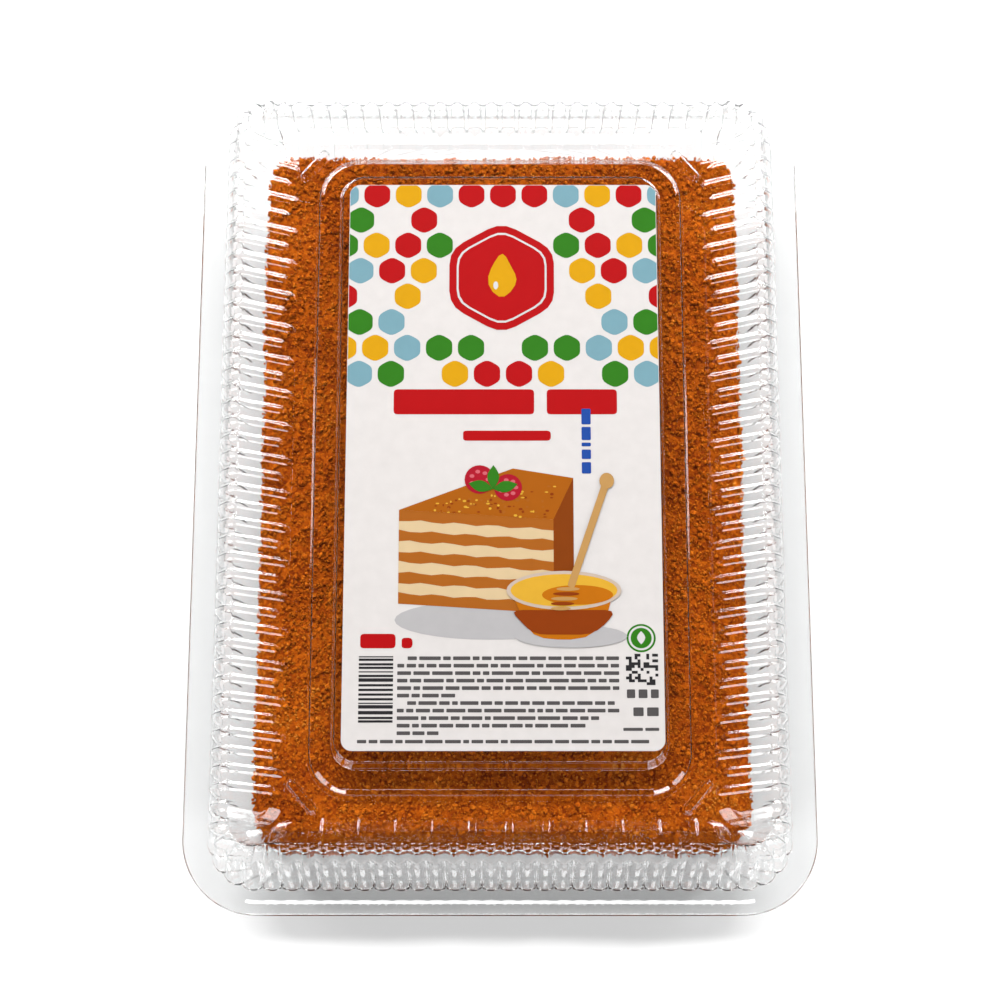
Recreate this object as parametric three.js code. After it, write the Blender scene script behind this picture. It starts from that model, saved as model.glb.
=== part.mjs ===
import * as THREE from 'three';

// A shut clear pack: a shallow moulded tray, a fluted lid, a crumb-coated honey cake slab lying in
// the tray and a label on the lid's raised panel. Millimetres, +Z up, +Y to the far end.

// Pack outline and sheet
const packWidth = 190;
const packDepth = 263.4;
const sheet = 0.8;
const gap = 0.3;

// Flange that runs round both the tray and the lid
const cornerSides = 7;
const trayFlangeTop = 18;
const flangeRadius = 23;
const bandWidth = 3.2;
const bandSlope = 1.1;
const bandDrop = 0.5;

// Flutes round the walls, with wider ones fanning out over the corners
const sideFlutes = 38;
const endFlutes = 22;
const fanFlutes = 7;
const fluteInset = 9.4;
const fluteDepth = 1.8;
const fanAlongSide = 30;
const fanAlongEnd = 36;
const fanHinge = [28, 22.7];

// Lid, heights above its flange
const shoulderHeight = 27;
const crownHeight = 30.2;
const shortRibHeight = 23;
const gutterHeight = 21;
const shoulderRun = 2.8;
const crownRun = 6;
const shoulderLift = 0.8;
const crownLift = 0.6;
const longRibLift = 0.45;
const sideRibs = [20, 22.6];
const endRibs = [11.2, 15.6];
const fanRibsFromHinge = [7, 2];
const stepFoot = { x: 57.1, y: 101.9, radius: 13.9, height: 21 };
const stepOne = { x: 56.2, y: 101, radius: 13, height: 25 };
const stepOneTop = { x: 54.9, y: 99.6, radius: 12, height: 25.9 };
const stepTwo = { x: 49.4, y: 93.6, radius: 7.5, height: 27.9 };
const panel = { x: 48.6, y: 92.6, radius: 7, height: 31.4 };
const barCentre = [37, 31];
const barDirection = [0.64, 0.77];
const barLength = 12.8;
const barWidth = 3.4;
const barRise = 1.6;
const barDraft = 0.8;
const barSides = 8;

// Tray
const floorInset = 16;
const floorRun = 5;
const footRise = 3;
const footRidge = 1;

// Cake
const cakeSize = [148, 218.5, 34.9];
const cakeCentre = [0.5, -2.2];
const cakeCorner = 8;
const cakeEdge = 2.5;
const cakeGrid = [28, 42];
const crumbHeight = 0.55;
const crumbShift = 1.1;
const rimDrop = 0.6;
const wallLevels = [0.93, 0.6, 0.28, 0];
const wallTuck = [0.5, 0, -0.3, 0.9];

// Label
const labelSize = [94.4, 178.7, 0.3];
const labelCentre = [0.9, 0.1];
const labelCorner = 3.2;

const halfX = packWidth / 2;
const halfY = packDepth / 2;
const lidFlangeTop = trayFlangeTop + gap + sheet;

// An open surface built from closed rings, outermost ring first, facing up.
class Skin {
  constructor() {
    this.points = [];
    this.faces = [];
    this.level = new Set();
    this.base = new Set();
  }

  ring(points) {
    const first = this.points.length;
    this.points.push(...points);
    return points.map((_, i) => first + i);
  }

  // Joins two rings of the same count point to point, one of half the count to every second point,
  // and rings of any other counts by the shortest edges.
  bridge(outer, inner) {
    const at = (loop, i) => this.points[loop[i % loop.length]];
    if (outer.length === inner.length) {
      outer.forEach((p, i) => {
        const next = (i + 1) % outer.length;
        const cross = at(outer, i).distanceTo(at(inner, i + 1)) < at(outer, i + 1).distanceTo(at(inner, i));
        if (cross) this.faces.push([p, outer[next], inner[next]], [p, inner[next], inner[i]]);
        else this.faces.push([p, outer[next], inner[i]], [outer[next], inner[next], inner[i]]);
      });
      return;
    }
    if (outer.length === inner.length * 2) {
      inner.forEach((q, i) => {
        const [p, middle, next] = [0, 1, 2].map((k) => outer[(i * 2 + k) % outer.length]);
        const after = inner[(i + 1) % inner.length];
        this.faces.push([p, middle, q], [middle, after, q], [middle, next, after]);
      });
      return;
    }
    let shift = 0;
    inner.forEach((_, i) => {
      const d = at(inner, i).distanceTo(at(outer, 0));
      if (d < at(inner, shift).distanceTo(at(outer, 0))) shift = i;
    });
    const turned = inner.map((_, i) => inner[(i + shift) % inner.length]);
    let a = 0;
    let b = 0;
    while (a < outer.length || b < turned.length) {
      const alongOuter = at(outer, a + 1).distanceTo(at(turned, b));
      const alongInner = at(outer, a).distanceTo(at(turned, b + 1));
      const p = outer[a % outer.length];
      const q = turned[b % turned.length];
      if (b === turned.length || (a < outer.length && alongOuter <= alongInner)) {
        this.faces.push([p, outer[(a + 1) % outer.length], q]);
        a += 1;
      } else {
        this.faces.push([p, turned[(b + 1) % turned.length], q]);
        b += 1;
      }
    }
  }

  // Fills the space inside a ring, round any holes.
  fill(outer, holes) {
    const flat = (loop) => loop.map((i) => new THREE.Vector2(this.points[i].x, this.points[i].y));
    const all = [...outer, ...holes.flat()];
    const cut = THREE.ShapeUtils.triangulateShape(flat(outer), holes.map(flat));
    cut.forEach(([a, b, c]) => this.faces.push(this.upward([all[a], all[b], all[c]])));
  }

  upward([a, b, c]) {
    const [p, q, r] = [a, b, c].map((i) => this.points[i]);
    const turn = (q.x - p.x) * (r.y - p.y) - (q.y - p.y) * (r.x - p.x);
    return turn > 0 ? [a, b, c] : [a, c, b];
  }

  // Gives the surface a thickness below itself and closes it along its outermost ring. Level points
  // move straight down, and base points keep the sheet's height too.
  solid(thickness, rim) {
    const normals = this.points.map(() => new THREE.Vector3());
    const facing = this.faces.map(([a, b, c]) => {
      const [p, q, r] = [a, b, c].map((i) => this.points[i]);
      return new THREE.Vector3().crossVectors(q.clone().sub(p), r.clone().sub(p)).normalize();
    });
    this.faces.forEach((face, f) => {
      face.forEach((v, k) => {
        const p = this.points[v];
        const q = this.points[face[(k + 1) % 3]].clone().sub(p);
        const r = this.points[face[(k + 2) % 3]].clone().sub(p);
        normals[v].addScaledVector(facing[f], q.angleTo(r));
      });
    });
    this.level.forEach((v) => normals[v].set(0, 0, 1));
    normals.forEach((n) => n.normalize());
    const least = this.points.map(() => 1);
    this.faces.forEach((face, f) => {
      face.forEach((v) => {
        least[v] = Math.min(least[v], Math.max(normals[v].dot(facing[f]), 0.72));
      });
    });
    const count = this.points.length;
    const back = this.points.map((p, v) => {
      const reach = this.level.has(v) ? thickness : thickness / least[v];
      const q = p.clone().addScaledVector(normals[v], -reach);
      if (this.base.has(v)) q.z = p.z - thickness;
      return q;
    });
    const faces = [...this.faces];
    this.faces.forEach(([a, b, c]) => faces.push([a + count, c + count, b + count]));
    rim.forEach((v, i) => {
      const w = rim[(i + 1) % rim.length];
      faces.push([v + count, w + count, w]);
      faces.push([v + count, w, v]);
    });
    return closed([...this.points, ...back], faces);
  }
}

function closed(points, faces) {
  const geometry = new THREE.BufferGeometry();
  const numbers = points.flatMap((p) => p.toArray());
  geometry.setAttribute('position', new THREE.Float32BufferAttribute(numbers, 3));
  geometry.setIndex(faces.flat());
  geometry.computeVertexNormals();
  return geometry;
}

// A rounded rectangle, anticlockwise from the right side's near end.
function roundedLoop(x, y, radius, z) {
  const loop = [];
  const corners = [[1, 1, 0], [-1, 1, 1], [-1, -1, 2], [1, -1, 3]];
  for (const [sx, sy, quarter] of corners) {
    for (let i = 0; i <= cornerSides; i += 1) {
      const turn = (quarter + i / cornerSides) * (Math.PI / 2);
      const cx = sx * (x - radius) + radius * Math.cos(turn);
      const cy = sy * (y - radius) + radius * Math.sin(turn);
      loop.push(new THREE.Vector3(cx, cy, z));
    }
  }
  return loop;
}

function flangeRings(skin, top) {
  const ring = (inset, z) => {
    const loop = roundedLoop(halfX - inset, halfY - inset, flangeRadius - inset, z);
    return skin.ring(loop);
  };
  const edge = ring(0, top - bandDrop);
  const band = ring(bandWidth, top - bandDrop);
  const ledge = ring(bandWidth + bandSlope, top);
  skin.bridge(edge, band);
  skin.bridge(band, ledge);
  [edge, band, ledge].flat().forEach((v) => skin.level.add(v));
  return { edge, ledge };
}

// The point at a length along the rim's far-right quarter, from the end of the side flutes to the
// start of the end flutes.
function fanRim(t) {
  const radius = flangeRadius - fluteInset;
  const side = fanAlongSide - flangeRadius;
  const arc = radius * (Math.PI / 2);
  const end = fanAlongEnd - flangeRadius;
  const along = t * (side + arc + end);
  const cx = halfX - flangeRadius;
  const cy = halfY - flangeRadius;
  if (along < side) return { at: [cx + radius, cy - side + along], out: [1, 0] };
  if (along > side + arc) return { at: [cx - (along - side - arc), cy + radius], out: [0, 1] };
  const turn = (along - side) / radius;
  const out = [Math.cos(turn), Math.sin(turn)];
  return { at: [cx + radius * out[0], cy + radius * out[1]], out };
}

// Valleys and crests of the flutes for one quarter of the rim, from the middle of the right side
// to the middle of the far end. Each has its place, its outward and inward directions and the
// lengths at which its rib ends on the lid.
function quarterFlutes() {
  const marks = [];
  const sideSpan = halfY - fanAlongSide;
  const endSpan = halfX - fanAlongEnd;
  const hinge = [halfX - fanHinge[0], halfY - fanHinge[1]];
  for (let i = 0; i <= sideFlutes; i += 1) {
    marks.push({
      at: [halfX - fluteInset, (sideSpan * i) / sideFlutes],
      out: [1, 0],
      inward: [-1, 0],
      crest: i % 2 === 1,
      ends: sideRibs,
    });
  }
  for (let i = 1; i < fanFlutes * 2; i += 1) {
    const { at, out } = fanRim(i / (fanFlutes * 2));
    const toHinge = [hinge[0] - at[0], hinge[1] - at[1]];
    const length = Math.hypot(...toHinge);
    marks.push({
      at,
      out,
      inward: toHinge.map((v) => v / length),
      crest: i % 2 === 1,
      fan: true,
      ends: fanRibsFromHinge.map((v) => length - v),
    });
  }
  for (let i = 0; i < endFlutes; i += 1) {
    marks.push({
      at: [endSpan * (1 - i / endFlutes), halfY - fluteInset],
      out: [0, 1],
      inward: [0, -1],
      crest: i % 2 === 1,
      ends: endRibs,
    });
  }
  return marks;
}

function mirrored(marks, sx, sy) {
  const flip = ([x, y]) => [x * sx, y * sy];
  return marks.map((m) => ({ ...m, at: flip(m.at), out: flip(m.out), inward: flip(m.inward) }));
}

// The whole rim, anticlockwise from the middle of the right side, with long and short ribs in turn.
function allFlutes() {
  const quarter = quarterFlutes();
  const farMiddle = { at: [0, halfY - fluteInset], out: [0, 1], inward: [0, -1], ends: endRibs };
  const half = [...quarter, farMiddle, ...mirrored(quarter.slice(1).reverse(), -1, 1)];
  const whole = [...half, ...mirrored(half, -1, -1)];
  whole.filter((m) => m.crest).forEach((m, i) => Object.assign(m, { long: !m.fan && i % 2 === 1 }));
  return whole;
}

// One ring of the fluted wall: how far inward of the rim, its height, and how far the crests stand
// out sideways and upwards.
function fluteRing(flutes, run, z, outward, upward) {
  return flutes.map((m) => {
    const inward = run(m);
    const aside = m.crest ? outward : 0;
    const x = m.at[0] + m.inward[0] * inward + m.out[0] * aside;
    const y = m.at[1] + m.inward[1] * inward + m.out[1] * aside;
    return new THREE.Vector3(x, y, z + (m.crest ? upward(m) : 0));
  });
}

const flat = () => 0;

// A round-ended bar lying across one corner of the lid.
function bar(sx, sy, z, length, width) {
  const [ax, ay] = barDirection;
  const loop = [];
  for (let i = 0; i < barSides; i += 1) {
    const turn = ((i + 0.5) / barSides) * Math.PI * 2;
    const u = (Math.sign(Math.cos(turn)) * (length - width) + Math.cos(turn) * width) / 2;
    const v = (Math.sin(turn) * width) / 2;
    const x = halfX - barCentre[0] - u * ax + v * ay;
    const y = halfY - barCentre[1] + u * ay + v * ax;
    loop.push(new THREE.Vector3(x * sx, y * sy, z));
  }
  return loop;
}

function lid() {
  const skin = new Skin();
  const { edge, ledge } = flangeRings(skin, lidFlangeTop);
  const flutes = allFlutes();
  const top = (height) => lidFlangeTop + height;
  const rim = skin.ring(fluteRing(flutes, () => 0, lidFlangeTop, fluteDepth, flat));
  rim.forEach((v) => skin.base.add(v));
  const valleys = flutes.filter((m) => !m.crest);
  const longRib = (m) => (m.long ? longRibLift : 0);
  const shoulder = fluteRing(flutes, () => shoulderRun, top(shoulderHeight), fluteDepth, () => shoulderLift);
  const crown = fluteRing(flutes, () => crownRun, top(crownHeight), 0, () => crownLift);
  const shortEnds = fluteRing(flutes, (m) => m.ends[0], top(shortRibHeight), 0, longRib);
  const gutter = fluteRing(valleys, (m) => m.ends[1], top(gutterHeight), 0, flat);
  const rings = [shoulder, crown, shortEnds, gutter].map((loop) => skin.ring(loop));
  skin.bridge(ledge, rim);
  [rim, ...rings].slice(0, -1).forEach((ring, i) => skin.bridge(ring, rings[i]));

  const step = (s) => skin.ring(roundedLoop(s.x, s.y, s.radius, top(s.height)));
  const steps = [stepFoot, stepOne, stepOneTop, stepTwo, panel].map(step);
  const barBase = top(gutterHeight);
  const bars = [[1, 1], [-1, 1], [-1, -1], [1, -1]].map(([sx, sy]) => {
    const base = skin.ring(bar(sx, sy, barBase, barLength, barWidth));
    const faceLength = barLength - barDraft * 2;
    const faceWidth = barWidth - barDraft * 2;
    const face = skin.ring(bar(sx, sy, barBase + barRise, faceLength, faceWidth));
    base.forEach((v, i) => {
      const w = (i + 1) % base.length;
      skin.faces.push(skin.upward([v, base[w], face[i]]));
      skin.faces.push(skin.upward([base[w], face[w], face[i]]));
    });
    skin.fill(face, []);
    return base;
  });
  skin.fill(rings[3], [steps[0], ...bars]);
  steps.slice(1).forEach((ring, i) => skin.bridge(steps[i], ring));
  skin.fill(steps.at(-1), []);
  return skin.solid(sheet, edge);
}

function tray() {
  const skin = new Skin();
  const { edge, ledge } = flangeRings(skin, trayFlangeTop);
  const flutes = allFlutes();
  const valleys = flutes.filter((m) => !m.crest);
  const footRun = () => floorInset - fluteInset;
  const floorEdge = () => floorInset + floorRun - fluteInset;
  const rim = skin.ring(fluteRing(flutes, () => 0, trayFlangeTop, fluteDepth, flat));
  const foot = skin.ring(fluteRing(flutes, footRun, sheet + footRise, footRidge, flat));
  const floor = skin.ring(fluteRing(valleys, floorEdge, sheet, 0, flat));
  rim.forEach((v) => skin.base.add(v));
  floor.forEach((v) => skin.base.add(v));
  skin.bridge(ledge, rim);
  skin.bridge(rim, foot);
  skin.bridge(foot, floor);
  skin.fill(floor, []);
  return skin.solid(sheet, edge);
}

// A repeatable value from -1 to 1 for a whole-numbered place.
function grain(i, j, k) {
  const n = Math.sin(i * 127.1 + j * 311.7 + k * 74.7) * 43758.5453;
  return (n - Math.floor(n)) * 2 - 1;
}

// Pulls a point of a rectangle's corner in to a round corner.
function roundedCorner(x, y, hx, hy) {
  const a = (Math.abs(x) - (hx - cakeCorner)) / cakeCorner;
  const b = (Math.abs(y) - (hy - cakeCorner)) / cakeCorner;
  if (a <= 0 || b <= 0) return [x, y];
  const pull = (Math.max(a, b) / Math.hypot(a, b)) * cakeCorner;
  return [Math.sign(x) * (hx - cakeCorner + a * pull), Math.sign(y) * (hy - cakeCorner + b * pull)];
}

// The cake's top as rows of points, uneven all over and a little lower along its edge.
function cakeTop(add) {
  const [nx, ny] = cakeGrid;
  const hx = cakeSize[0] / 2 - cakeEdge;
  const hy = cakeSize[1] / 2 - cakeEdge;
  const height = sheet + gap + cakeSize[2] - crumbHeight;
  return Array.from({ length: ny + 1 }, (_, j) => Array.from({ length: nx + 1 }, (_, i) => {
    const edge = i === 0 || i === nx || j === 0 || j === ny;
    const shift = edge ? 0 : crumbShift;
    const [x, y] = roundedCorner((i / nx - 0.5) * 2 * hx, (j / ny - 0.5) * 2 * hy, hx, hy);
    const z = height + grain(i, j, 1) * crumbHeight - (edge ? rimDrop : 0);
    return add(new THREE.Vector3(x + grain(i, j, 2) * shift, y + grain(i, j, 3) * shift, z));
  }));
}

function cake() {
  const [nx, ny] = cakeGrid;
  const points = [];
  const faces = [];
  const add = (p) => points.push(p) - 1;
  const top = cakeTop(add);
  for (let j = 0; j < ny; j += 1) {
    for (let i = 0; i < nx; i += 1) {
      const [a, b, c, d] = [top[j][i], top[j][i + 1], top[j + 1][i + 1], top[j + 1][i]];
      faces.push(...((i + j) % 2 ? [[a, b, c], [a, c, d]] : [[a, b, d], [b, c, d]]));
    }
  }
  const near = top[0].slice(0, -1);
  const right = top.map((row) => row[nx]).slice(0, -1);
  const far = top[ny].slice(1).reverse();
  const left = top.map((row) => row[0]).slice(1).reverse();
  const border = [...near, ...right, ...far, ...left];
  let above = border;
  wallLevels.forEach((share, row) => {
    const ring = border.map((v, i) => {
      const p = points[v];
      const out = new THREE.Vector2((p.x / cakeSize[0]) ** 9, (p.y / cakeSize[1]) ** 9).normalize();
      const reach = cakeEdge - crumbHeight - wallTuck[row] + grain(i, row, 5) * crumbHeight;
      const z = sheet + gap + cakeSize[2] * share;
      return add(new THREE.Vector3(p.x + out.x * reach, p.y + out.y * reach, z));
    });
    ring.forEach((v, i) => {
      const w = (i + 1) % ring.length;
      faces.push([above[i], v, ring[w]], [above[i], ring[w], above[w]]);
    });
    above = ring;
  });
  const outline = above.map((v) => new THREE.Vector2(points[v].x, points[v].y));
  THREE.ShapeUtils.triangulateShape(outline, []).forEach(([a, b, c]) => {
    faces.push([above[a], above[c], above[b]]);
  });
  const geometry = closed(points, faces);
  geometry.translate(cakeCentre[0], cakeCentre[1], 0);
  return geometry;
}

function label() {
  const [w, d, thickness] = labelSize;
  const loop = roundedLoop(w / 2, d / 2, labelCorner, 0);
  const shape = new THREE.Shape(loop.map((p) => new THREE.Vector2(p.x, p.y)));
  const geometry = new THREE.ExtrudeGeometry(shape, { depth: thickness, bevelEnabled: false });
  geometry.translate(labelCentre[0], labelCentre[1], lidFlangeTop + panel.height + gap);
  return geometry;
}

function named(name, geometry, color, roughness) {
  const material = new THREE.MeshStandardMaterial({ color, roughness, metalness: 0 });
  const mesh = new THREE.Mesh(geometry, material);
  mesh.name = name;
  return mesh;
}

const group = new THREE.Group();
group.name = 'honey_cake_pack';
group.add(named('tray', tray(), '#eef1f1', 0.1));
group.add(named('lid', lid(), '#eef1f1', 0.08));
group.add(named('cake', cake(), '#b3661c', 0.9));
group.add(named('label', label(), '#f6f4f1', 0.35));

export default group;
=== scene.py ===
import math
import random

import bmesh
import bpy
import numpy as np
from mathutils import Color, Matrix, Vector, noise


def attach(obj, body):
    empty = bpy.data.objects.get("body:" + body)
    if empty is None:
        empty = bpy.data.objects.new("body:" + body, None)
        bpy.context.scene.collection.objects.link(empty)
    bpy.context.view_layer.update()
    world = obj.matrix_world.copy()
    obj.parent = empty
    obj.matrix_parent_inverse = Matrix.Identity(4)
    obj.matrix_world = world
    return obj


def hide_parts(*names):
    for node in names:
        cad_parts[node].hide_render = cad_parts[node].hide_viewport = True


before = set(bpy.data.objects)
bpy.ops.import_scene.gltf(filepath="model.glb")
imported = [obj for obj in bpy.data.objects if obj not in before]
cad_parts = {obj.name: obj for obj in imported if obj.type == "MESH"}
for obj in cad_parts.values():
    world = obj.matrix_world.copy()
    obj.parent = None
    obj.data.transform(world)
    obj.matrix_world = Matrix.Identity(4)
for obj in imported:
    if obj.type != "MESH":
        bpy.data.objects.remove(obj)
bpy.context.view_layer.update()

# The tray: a shallow tub of clear plastic sheet, drawn down over a mould in one go. Its wall is
# fluted to stiffen it and ends in a flat flange with a dropped outer band. Each shell below is
# drawn in millimetres and brought to metres when it is finished.
PACK_WIDTH, PACK_DEPTH = 190, 263.4
HALF_X, HALF_Y = PACK_WIDTH / 2, PACK_DEPTH / 2
FLANGE_RADIUS = 23
BAND_WIDTH, BAND_SLOPE, BAND_DROP = 3.2, 1.1, 0.5
SIDE_FLUTES, END_FLUTES, FAN_FLUTES = 38, 22, 7
FLUTE_INSET, FLUTE_DEPTH = 9.4, 1.8
FAN_ALONG_SIDE, FAN_ALONG_END = 30, 36
FAN_HINGE = Vector((HALF_X - 28, HALF_Y - 22.7))
SIDE_RIBS, END_RIBS = (20, 22.6), (11.2, 15.6)
FAN_RIBS_FROM_HINGE = (7, 2)
BLENDED_FLUTES = 3
HALF_FLUTE = 2.68
PLACES_IN_HALF_FLUTE = (0, 0.24, 0.34, 0.46, 0.56, 0.8)
RIB_TOP, RIB_FOOT = 0.24, 0.56
TRAY_FLANGE_TOP = 18
TRAY_SHEET = 0.5
PLASTIC_TINT = (0.985, 0.988, 0.988)
SMUDGE_SIZE = 0.02


def fan_place(share):
    """A point of the valley line round the far-right corner and the way out from there."""
    radius = FLANGE_RADIUS - FLUTE_INSET
    side, end = FAN_ALONG_SIDE - FLANGE_RADIUS, FAN_ALONG_END - FLANGE_RADIUS
    along = share * (side + radius * math.pi / 2 + end)
    centre = Vector((HALF_X - FLANGE_RADIUS, HALF_Y - FLANGE_RADIUS))
    if along < side:
        return centre + Vector((radius, along - side)), Vector((1, 0))
    turn = (along - side) / radius
    if turn > math.pi / 2:
        return centre + Vector((side + radius * math.pi / 2 - along, radius)), Vector((0, 1))
    out = Vector((math.cos(turn), math.sin(turn)))
    return centre + out * radius, out


def flute_place(half_flutes):
    """Where a place lies on the far-right quarter of the rim, counted in half flutes."""
    side_span, end_span = HALF_Y - FAN_ALONG_SIDE, HALF_X - FAN_ALONG_END
    from_side = half_flutes - SIDE_FLUTES
    from_end = from_side - FAN_FLUTES * 2
    if from_side <= 0:
        at = Vector((HALF_X - FLUTE_INSET, side_span * half_flutes / SIDE_FLUTES))
        return {"at": at, "out": Vector((1, 0)), "inward": Vector((-1, 0)), "ends": SIDE_RIBS}
    if from_end >= 0:
        at = Vector((end_span * (1 - from_end / END_FLUTES), HALF_Y - FLUTE_INSET))
        return {"at": at, "out": Vector((0, 1)), "inward": Vector((0, -1)), "ends": END_RIBS}
    at, out = fan_place(from_side / (FAN_FLUTES * 2))
    to_hinge = FAN_HINGE - at
    inward = to_hinge.normalized()
    ends = [to_hinge.length - short for short in FAN_RIBS_FROM_HINGE]
    beside, straight, side_ends = min(
        (from_side, Vector((-1, 0)), SIDE_RIBS), (-from_end, Vector((0, -1)), END_RIBS),
        key=lambda side: side[0],
    )
    if beside < BLENDED_FLUTES:
        share = beside / BLENDED_FLUTES
        inward = straight.lerp(inward, share).normalized()
        ends = [a + (b - a) * share for a, b in zip(side_ends, ends)]
    return {"at": at, "out": out, "inward": inward, "ends": ends, "fan": True}


def flute_places():
    """The whole rim, anticlockwise from the middle of the right side, with how far each place is
    from the crest of its flute (0) to the valley beside it (1)."""
    count = SIDE_FLUTES + FAN_FLUTES * 2 + END_FLUTES
    falling = PLACES_IN_HALF_FLUTE
    rising = (1, *falling[:0:-1])
    quarter = []
    for half_flute in range(count):
        from_valley = half_flute % 2 == 0
        for off in rising if from_valley else falling:
            along = 1 - off if from_valley else off
            quarter.append({**flute_place(half_flute + along), "off": off, "flute": half_flute // 2})
    quarter.append({**flute_place(count), "off": 1 - count % 2, "flute": (count - 1) // 2})

    def mirrored(place, sx, sy):
        turned = {k: Vector((place[k].x * sx, place[k].y * sy)) for k in ("at", "out", "inward")}
        return {**place, **turned}

    def half_from(sx, sy, first):
        there = [mirrored(place, sx, sy) for place in quarter[:-1]]
        back = [mirrored(place, -sx, sy) for place in quarter[:0:-1]]
        for place in there:
            place["flute"] += first
        for place in back:
            place["flute"] = first + count - 1 - place["flute"]
        return there + back

    whole = half_from(1, 1, 0) + half_from(-1, -1, count)
    for place in whole:
        place["long"] = not place.get("fan") and place["flute"] % 2 == 1
    return whole


RIM = flute_places()


def eased(line, steps=3):
    """A line of (point, reach) with each bend rounded within its reach."""
    points = [line[0][0]]
    for (before, _), (bend, reach), (after, _) in zip(line, line[1:], line[2:]):
        start, end = (
            bend + (beside - bend) * min(0.48, reach / max((beside - bend).length, 1e-6))
            for beside in (before, after)
        )
        for step in range(steps + 1):
            t = step / steps
            points.append(start * (1 - t) ** 2 + bend * (2 * t * (1 - t)) + end * t ** 2)
    points.append(line[-1][0])
    return points


def fluted_point(place, run, height, aside, lift, ridge, past=0.0):
    """A point of a fluted sheet. run goes inward from the valley line, aside and lift are how far
    a crest stands out and up, ridge turns full scallops (0) into flat-topped ribs (1), and past is
    how far a rib's round end has begun."""
    scallop = math.sqrt(max(0.0, 1 - place["off"] ** 2))
    fall = (math.hypot(place["off"], past / HALF_FLUTE) - RIB_TOP) / (RIB_FOOT - RIB_TOP)
    rib = 1 - min(1.0, max(0.0, fall))
    bump = scallop + (rib - scallop) * ridge
    flat = place["at"] + (place["out"] * -run if run < 0 else place["inward"] * run)
    flat = flat + place["out"] * (aside * bump)
    return Vector((flat.x, flat.y, height + lift * bump))


def flange_line(top):
    """The flange from its edge to the ledge, as (run, height, aside, lift, ridge) with a reach."""
    edge = -FLUTE_INSET
    return [
        (Vector((edge, top - BAND_DROP - 0.2, 0, 0, 0)), 0),
        (Vector((edge + 0.3, top - BAND_DROP, 0, 0, 0)), 0.2),
        (Vector((edge + BAND_WIDTH, top - BAND_DROP, 0, 0, 0)), 0.4),
        (Vector((edge + BAND_WIDTH + BAND_SLOPE, top, 0, 0, 0)), 0.4),
    ]


def sheet_line(flange, walls):
    """A sheet's section, with the bends of its walls rounded more finely than the flange's."""
    return eased([*flange, walls[0]], steps=1)[:-1] + eased([flange[-1], *walls], steps=2)[1:]


def skin(bm, rows):
    """Bends a grid through closed rows of points and gives its first and last loop of edges."""
    around = len(rows[0])
    grid = bmesh.ops.create_grid(bm, x_segments=around, y_segments=len(rows) - 1, size=1)["verts"]
    for n, vert in enumerate(grid):
        row, column = divmod(n, around + 1)
        vert.co = rows[row][column % around]
    lines = [grid[row * (around + 1):(row + 1) * (around + 1)] for row in range(len(rows))]
    first, last = ([line[:around] for line in lines][k] for k in (0, -1))
    bmesh.ops.weld_verts(bm, targetmap={line[-1]: line[0] for line in lines})
    return [
        [bm.edges.get((loop[n], loop[(n + 1) % around])) for n in range(around)]
        for loop in (first, last)
    ]


def finished_sheet(name, bm, sheet, material):
    """Faces an open shell upwards, brings it to metres and gives it its thickness."""
    bmesh.ops.recalc_face_normals(bm, faces=bm.faces)
    largest = max(bm.faces, key=lambda face: face.calc_area())
    if largest.normal.z < 0:
        bmesh.ops.reverse_faces(bm, faces=bm.faces)
    for face in bm.faces:
        face.smooth = abs(face.normal.z) < 0.9999
    for edge in bm.edges:
        edge.smooth = not edge.is_boundary
    bmesh.ops.scale(bm, verts=bm.verts, vec=(0.001,) * 3)
    mesh = bpy.data.meshes.new(name)
    bm.to_mesh(mesh)
    bm.free()
    piece = bpy.data.objects.new(name, mesh)
    bpy.context.collection.objects.link(piece)
    wall = piece.modifiers.new("sheet", "SOLIDIFY")
    wall.thickness = sheet * 0.001
    wall.offset = -1
    flats = piece.modifiers.new("flat_faces", "WEIGHTED_NORMAL")
    flats.keep_sharp = True
    mesh.materials.append(material)
    return piece


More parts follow.
